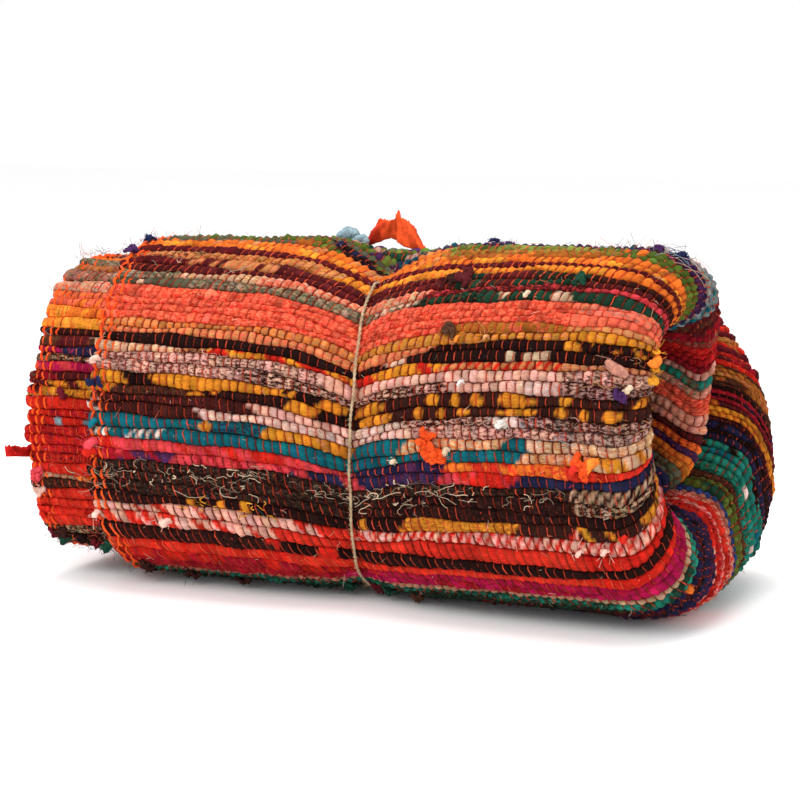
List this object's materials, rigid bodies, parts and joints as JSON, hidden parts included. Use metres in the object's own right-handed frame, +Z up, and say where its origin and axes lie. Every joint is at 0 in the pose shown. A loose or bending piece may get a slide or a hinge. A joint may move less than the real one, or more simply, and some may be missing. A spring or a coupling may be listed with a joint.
{
  "type": "rag rug",
  "caption": "Flat-woven rag rug in many coloured stripes, folded once across its width, rolled up and tied round the middle with thin twine.",
  "frame": {"origin": "on the ground under the middle of the bundle's bounding box", "axes": "+Z up, +X along the bundle towards its folded end, the front of the bundle looks along -Y"},
  "size_m": [0.6457, 0.2877, 0.3336],
  "materials": {
    "rag_weave": "matt woven cotton rags",
    "twine": "matt twisted bast twine",
    "loose_rag": "matt thin cotton rag"
  },
  "bodies": {
    "root": {"rug": "rag_weave", "tie": "twine", "rag_end_top": "loose_rag", "rag_end_side": "loose_rag"}
  },
  "joints": []
}
